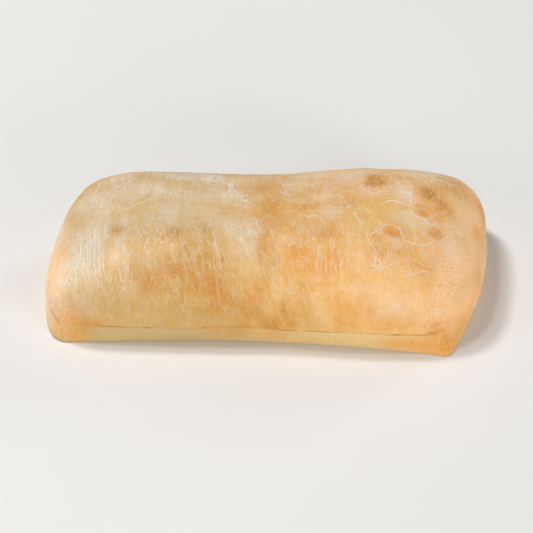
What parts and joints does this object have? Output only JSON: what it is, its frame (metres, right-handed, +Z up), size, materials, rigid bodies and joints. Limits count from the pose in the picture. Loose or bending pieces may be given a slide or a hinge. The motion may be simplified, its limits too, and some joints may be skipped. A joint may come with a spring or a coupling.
{
  "type": "part-baked ciabatta",
  "caption": "Uncut part-baked ciabatta loaf: a low pillow-shaped dome of pale floured crust over a flat base, creased along its front.",
  "frame": {"origin": "on the surface that the loaf rests on, under the middle of its box", "axes": "+X along the loaf towards the end with the pinched foot corner, -Y out of the creased front, +Z up"},
  "size_m": [0.2588, 0.1238, 0.0608],
  "materials": {
    "crust": "matt pale golden crust dusted with flour, toasted in soft patches"
  },
  "bodies": {
    "root": {"ciabatta_loaf": "crust"}
  },
  "joints": []
}
